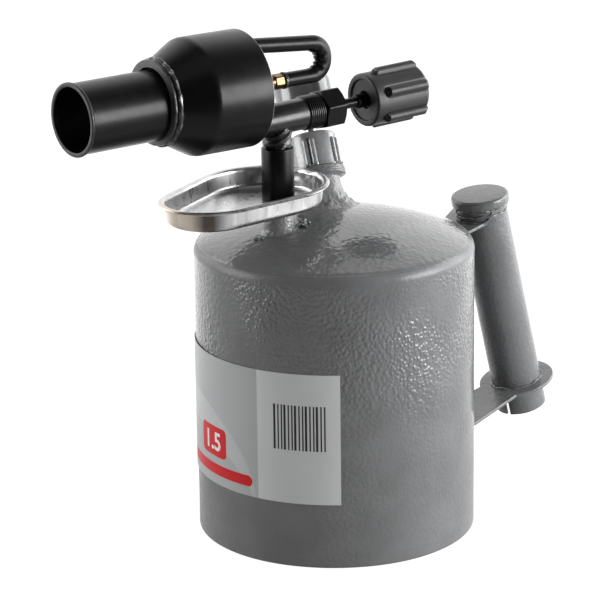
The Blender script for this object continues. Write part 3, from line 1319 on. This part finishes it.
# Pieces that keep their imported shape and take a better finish
keptFinishes = {
    "brightSteel": ("pickup_tube", "cap_washer", "pump_rod", "foot_valve_ball", "valve_needle"),
    "brass": ("pickup_strainer", "pump_barrel", "rod_guide", "piston_nut", "foot_valve_body"),
    "fibre": ("pump_gasket", "gland_packing"), "leather": ("piston_leather",),
}
for finishName, nodeNames in keptFinishes.items():
    for nodeName in nodeNames:
        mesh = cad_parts[nodeName].data
        mesh.materials.clear()
        mesh.materials.append(finishes[finishName])
print("inner pieces finished")


# Studio

studio = {
    "cameraPlace": (-0.78150, -1.07359, 0.50470), "cameraRight": (0.812825, -0.582357, -0.013228),
    "cameraUp": (0.178715, 0.227698, 0.957191), "cameraBack": (-0.554415, -0.780393, 0.289155),
    "lens": 187.51, "ambient": 0.04, "sweepHeading": (0.5792, 0.8152, -0.25), "sweepFrom": 0.0, "sweepTo": 0.60,
    "roomLevel": 0.05, "sweepLevel": 1.5, "floorColour": (0.32, 0.32, 0.32, 1.0), "floorLift": 0.90,
    "floorGlow": 0.48, "floorSize": 5.0, "floorHeight": -0.0001, "tableHeading": (-0.5792, -0.8152, 0.0),
    "tableFrom": 0.47, "tableTo": 0.52, "farFrom": -0.34, "farTo": -0.07, "farGlow": 1.05,
    "lampTarget": (0.0, 0.0, 0.12),
}
lamps = {
    "rightFront": {"place": (0.88, -1.12, 0.30), "size": (0.80, 0.70), "power": 32.0},
    "rightSide": {"place": (1.25, -0.35, 0.45), "size": (0.9, 1.1), "power": 15.0},
    "rightBack": {"place": (1.20, 0.55, 0.60), "size": (0.9, 1.1), "power": 1.2},
    "leftSide": {"place": (-1.10, 0.60, 0.34), "size": (0.75, 0.8), "power": 10.5},
    "leftBack": {"place": (-0.55, 1.15, 0.65), "size": (0.9, 1.0), "power": 5.0},
    "overBack": {"place": (0.25, 0.75, 1.20), "size": (1.2, 0.8), "power": 1.2},
    "overFront": {"place": (-0.20, -0.45, 1.40), "size": (1.2, 0.9), "power": 2.0},
}


def placeCamera():
    camera = bpy.data.cameras.new("camera")
    camera.lens = studio["lens"]
    camera.sensor_width = 36.0
    camera.clip_start, camera.clip_end = 0.05, 30.0
    viewer = linkNew("camera", camera)
    columns = Matrix((studio["cameraRight"], studio["cameraUp"], studio["cameraBack"])).transposed()
    viewer.matrix_world = Matrix.Translation(studio["cameraPlace"]) @ columns.to_4x4()
    bpy.context.scene.camera = viewer


def placeLamps():
    for name, lamp in lamps.items():
        light = bpy.data.lights.new(name, "AREA")
        light.shape = "RECTANGLE"
        light.size, light.size_y = lamp["size"]
        light.energy = lamp["power"]
        holder = linkNew(name, light)
        holder.location = lamp["place"]
        heading = Vector(studio["lampTarget"]) - Vector(lamp["place"])
        holder.rotation_euler = heading.to_track_quat("-Z", "Y").to_euler()
        holder.visible_camera = False


def seenDirectly(tree, rays):
    return maths(tree, "MINIMUM", maths(tree, "ADD", rays["Is Camera Ray"], rays["Is Transmission Ray"]), 1.0)


def lightWorld():
    world = bpy.data.worlds.new("studio")
    world.use_nodes = True
    bpy.context.scene.world = world
    tree = world.node_tree
    rays = addNode(tree, "ShaderNodeLightPath").outputs
    # reflections see the white sweep behind the lamp and a darker room in front of it
    heading = addNode(tree, "ShaderNodeTexCoord").outputs["Generated"]
    behind = measure(tree, "DOT_PRODUCT", heading, studio["sweepHeading"])
    dark = studio["roomLevel"]
    sweep = ramp(tree, behind, studio["sweepFrom"], studio["sweepTo"], dark, studio["sweepLevel"])
    seen = seenDirectly(tree, rays)
    level = maths(tree, "ADD", seen, maths(tree, "MULTIPLY", rays["Is Glossy Ray"], sweep))
    either = maths(tree, "MINIMUM", maths(tree, "ADD", seen, rays["Is Glossy Ray"]), 1.0)
    plain = maths(tree, "MULTIPLY", maths(tree, "SUBTRACT", 1.0, either), studio["ambient"])
    plug(tree, tree.nodes["Background"].inputs["Strength"], maths(tree, "ADD", level, plain))
    tree.nodes["Background"].inputs["Color"].default_value = (1.0, 1.0, 1.0, 1.0)


def floorCard():
    material = bpy.data.materials.new("floorCard")
    material.use_nodes = True
    tree = material.node_tree
    tree.nodes.remove(tree.nodes["Principled BSDF"])
    rays = addNode(tree, "ShaderNodeLightPath").outputs
    # the table ends on the near side, and mirror-like parts show a dark room there
    place = addNode(tree, "ShaderNodeNewGeometry").outputs["Position"]
    nearSide = measure(tree, "DOT_PRODUCT", place, studio["tableHeading"])
    past = ramp(tree, nearSide, studio["tableFrom"], studio["tableTo"], 0.0, 1.0)
    unlit = maths(tree, "MULTIPLY", past, rays["Is Glossy Ray"])
    card = addNode(tree, "ShaderNodeBsdfDiffuse", {
        "Color": blendColour(tree, unlit, studio["floorColour"], (0.0, 0.0, 0.0, 1.0))
    })
    seen = maths(tree, "MULTIPLY", seenDirectly(tree, rays), studio["floorLift"])
    dark = studio["roomLevel"]
    lit = ramp(tree, nearSide, studio["tableFrom"], studio["tableTo"], studio["floorGlow"], dark)
    # the table behind the lamp mirrors brighter, which lights the rims of upright walls
    far = ramp(tree, nearSide, studio["farFrom"], studio["farTo"], studio["farGlow"], 0.0)
    mirrored = maths(tree, "MULTIPLY", rays["Is Glossy Ray"], maths(tree, "ADD", lit, far))
    glow = addNode(tree, "ShaderNodeEmission", {"Strength": maths(tree, "ADD", seen, mirrored)})
    both = addNode(tree, "ShaderNodeAddShader", {0: card.outputs[0], 1: glow.outputs[0]})
    plug(tree, tree.nodes["Material Output"].inputs["Surface"], both.outputs[0])
    return material


def layFloor():
    bm = bmesh.new()
    bmesh.ops.create_grid(bm, x_segments=4, y_segments=4, size=studio["floorSize"])
    floor = linkNew("floor", meshFrom("floor", bm))
    floor.location.z = studio["floorHeight"]
    floor.data.materials.append(floorCard())


placeCamera()
placeLamps()
lightWorld()
layFloor()
bpy.context.scene.view_settings.view_transform = "Standard"
print("studio set up")
